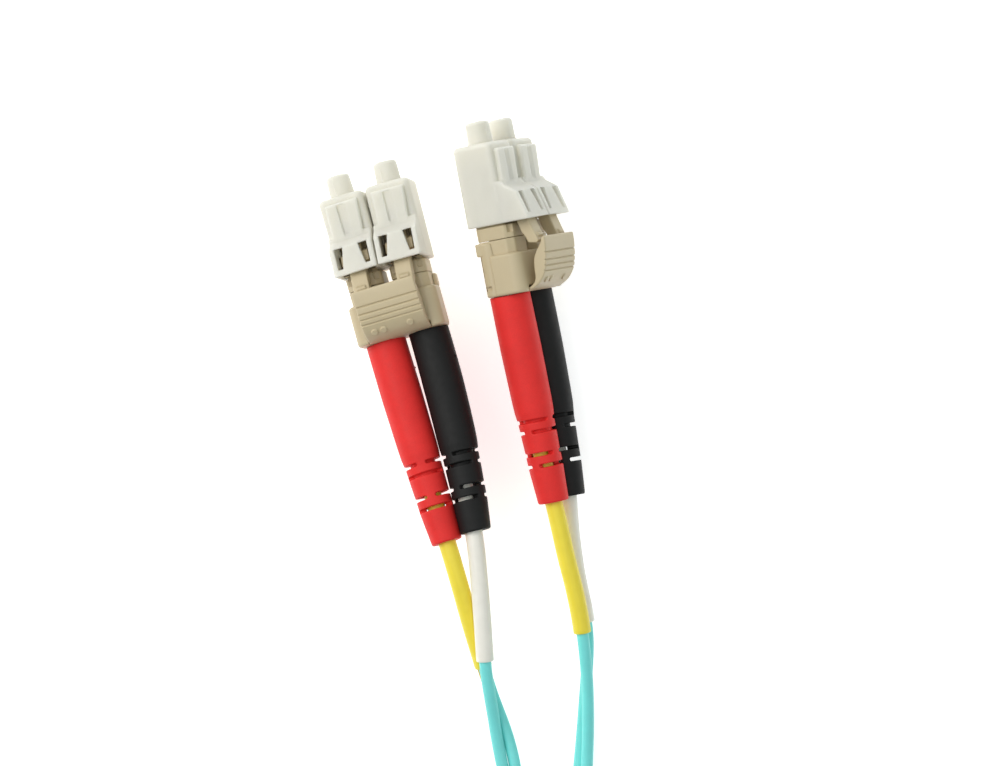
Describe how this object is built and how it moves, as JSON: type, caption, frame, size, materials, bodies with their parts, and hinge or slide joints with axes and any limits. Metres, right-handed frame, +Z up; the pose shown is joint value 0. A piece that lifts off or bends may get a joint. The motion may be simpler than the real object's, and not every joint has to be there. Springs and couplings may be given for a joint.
{
  "type": "fiber optic patch cord",
  "caption": "Duplex fibre optic patch cord: paired LC plugs with dust caps, clip and trigger at each end, slotted boots, coloured sleeves and a coiled two-core zip cord.",
  "frame": {"origin": "on the table surface, in the middle of the object's footprint", "axes": "+Z up from the table; +Y from the coil toward the two connectorised ends; +X to the right seen from above"},
  "size_m": [0.0712, 0.222, 0.0163],
  "materials": {
    "connector_plastic": "fine moulded beige, slightly glossy",
    "cap_plastic": "soft off-white moulded plastic",
    "black_boot": "satin elastomer",
    "red_boot": "satin elastomer",
    "white_sleeve": "heat-shrink tube",
    "yellow_sleeve": "heat-shrink tube",
    "aqua_jacket": "extruded jacket, satin",
    "aramid_yarn": "yarn layer",
    "fibre_buffer": "tight buffer over glass",
    "zirconia": "polished ceramic",
    "nickel_metal": "nickel plated",
    "spring_steel": "drawn wire",
    "crimp_metal": "crimped ring"
  },
  "bodies": {
    "cord": {"zip_jacket": "aqua_jacket", "zip_aramid": "aramid_yarn", "zip_fibres": "fibre_buffer"},
    "left_end": {"left_a_plug_housing": "connector_plastic", "left_a_rear_housing": "connector_plastic", "left_a_spring": "spring_steel", "left_a_boot": "black_boot", "left_a_id_sleeve": "white_sleeve", "left_b_plug_housing": "connector_plastic", "left_b_rear_housing": "connector_plastic", "left_b_spring": "spring_steel", "left_b_boot": "red_boot", "left_b_id_sleeve": "yellow_sleeve", "left_duplex_clip": "connector_plastic", "left_crimp_posts": "nickel_metal", "left_crimp_sleeves": "crimp_metal", "left_leg_jackets": "aqua_jacket", "left_leg_aramid": "aramid_yarn", "left_leg_fibres": "fibre_buffer"},
    "left_a_latch": {"left_a_latch": "connector_plastic"},
    "left_a_ferrule": {"left_a_ferrule": "zirconia", "left_a_ferrule_flange": "nickel_metal"},
    "left_a_dust_cap": {"left_a_dust_cap": "cap_plastic"},
    "left_b_latch": {"left_b_latch": "connector_plastic"},
    "left_b_ferrule": {"left_b_ferrule": "zirconia", "left_b_ferrule_flange": "nickel_metal"},
    "left_b_dust_cap": {"left_b_dust_cap": "cap_plastic"},
    "left_trigger": {"left_trigger": "connector_plastic"},
    "right_end": {"right_a_plug_housing": "connector_plastic", "right_a_rear_housing": "connector_plastic", "right_a_spring": "spring_steel", "right_a_boot": "black_boot", "right_a_id_sleeve": "white_sleeve", "right_b_plug_housing": "connector_plastic", "right_b_rear_housing": "connector_plastic", "right_b_spring": "spring_steel", "right_b_boot": "red_boot", "right_b_id_sleeve": "yellow_sleeve", "right_duplex_clip": "connector_plastic", "right_crimp_posts": "nickel_metal", "right_crimp_sleeves": "crimp_metal", "right_leg_jackets": "aqua_jacket", "right_leg_aramid": "aramid_yarn", "right_leg_fibres": "fibre_buffer"},
    "right_a_latch": {"right_a_latch": "connector_plastic"},
    "right_a_ferrule": {"right_a_ferrule": "zirconia", "right_a_ferrule_flange": "nickel_metal"},
    "right_a_dust_cap": {"right_a_dust_cap": "cap_plastic"},
    "right_b_latch": {"right_b_latch": "connector_plastic"},
    "right_b_ferrule": {"right_b_ferrule": "zirconia", "right_b_ferrule_flange": "nickel_metal"},
    "right_b_dust_cap": {"right_b_dust_cap": "cap_plastic"},
    "right_trigger": {"right_trigger": "connector_plastic"}
  },
  "joints": [
    {"name": "left_cord_bend", "type": "hinge", "parent": "cord", "child": "left_end", "pos_m": [-0.00617, 0.01464, 0.00635], "axis": [0, 0, 1], "range_deg": [-1, 25], "stiffness_Nm_per_rad": 0.002},
    {"name": "left_trigger_press", "type": "hinge", "parent": "left_end", "child": "left_trigger", "pos_m": [-0.02211, 0.07965, 0.01093], "axis": [-0.9467, -0.2761, -0.166], "range_deg": [0, 5.5], "stiffness_Nm_per_rad": 0.0005},
    {"name": "left_a_latch_flex", "type": "hinge", "parent": "left_end", "child": "left_a_latch", "pos_m": [-0.02328, 0.09699, 0.00962], "axis": [0.9516, 0.2577, 0.1678], "range_deg": [0, 3.5]},
    {"name": "left_a_ferrule_float", "type": "slide", "parent": "left_end", "child": "left_a_ferrule", "axis": [0.2453, -0.9652, 0.0909], "range_m": [0, 0.001], "stiffness_N_per_m": 2, "deforming": ["left_a_spring"]},
    {"name": "left_a_dust_cap_pull", "type": "slide", "parent": "left_end", "child": "left_a_dust_cap", "axis": [-0.2453, 0.9652, -0.0909], "range_m": [0, 0.018]},
    {"name": "left_b_latch_flex", "type": "hinge", "parent": "left_end", "child": "left_b_latch", "pos_m": [-0.02983, 0.09508, 0.00847], "axis": [0.9414, 0.2945, 0.1642], "range_deg": [0, 3.5]},
    {"name": "left_b_ferrule_float", "type": "slide", "parent": "left_end", "child": "left_b_ferrule", "axis": [0.2817, -0.9546, 0.0973], "range_m": [0, 0.001], "stiffness_N_per_m": 2, "deforming": ["left_b_spring"]},
    {"name": "left_b_dust_cap_pull", "type": "slide", "parent": "left_end", "child": "left_b_dust_cap", "axis": [-0.2817, 0.9546, -0.0973], "range_m": [0, 0.018]},
    {"name": "right_cord_bend", "type": "hinge", "parent": "cord", "child": "right_end", "pos_m": [0.00342, 0.00664, 0.0008], "axis": [0, 0, 1], "range_deg": [-25, 1], "stiffness_Nm_per_rad": 0.002},
    {"name": "right_trigger_press", "type": "hinge", "parent": "right_end", "child": "right_trigger", "pos_m": [-0.00267, 0.08629, 0.00873], "axis": [-0.465, -0.0929, 0.8804], "range_deg": [0, 5.5], "stiffness_Nm_per_rad": 0.0005},
    {"name": "right_a_latch_flex", "type": "hinge", "parent": "right_end", "child": "right_a_latch", "pos_m": [-0.00438, 0.10337, 0.0057], "axis": [0.4683, 0.074, -0.8804], "range_deg": [0, 3.5]},
    {"name": "right_a_ferrule_float", "type": "slide", "parent": "right_end", "child": "right_a_ferrule", "axis": [0.171, -0.9852, 0.0082], "range_m": [0, 0.001], "stiffness_N_per_m": 2, "deforming": ["right_a_spring"]},
    {"name": "right_a_dust_cap_pull", "type": "slide", "parent": "right_end", "child": "right_a_dust_cap", "axis": [-0.171, 0.9852, -0.0082], "range_m": [0, 0.018]},
    {"name": "right_b_latch_flex", "type": "hinge", "parent": "right_end", "child": "right_b_latch", "pos_m": [-0.00759, 0.10273, 0.01179], "axis": [0.4614, 0.1118, -0.8801], "range_deg": [0, 3.5]},
    {"name": "right_b_ferrule_float", "type": "slide", "parent": "right_end", "child": "right_b_ferrule", "axis": [0.1889, -0.9817, -0.0256], "range_m": [0, 0.001], "stiffness_N_per_m": 2, "deforming": ["right_b_spring"]},
    {"name": "right_b_dust_cap_pull", "type": "slide", "parent": "right_end", "child": "right_b_dust_cap", "axis": [-0.1889, 0.9817, 0.0256], "range_m": [0, 0.018]}
  ],
  "couplings": [
    {"joint": "left_a_latch_flex", "follows": "left_trigger_press", "ratio": 0.61},
    {"joint": "left_b_latch_flex", "follows": "left_trigger_press", "ratio": 0.61},
    {"joint": "right_a_latch_flex", "follows": "right_trigger_press", "ratio": 0.61},
    {"joint": "right_b_latch_flex", "follows": "right_trigger_press", "ratio": 0.61}
  ]
}
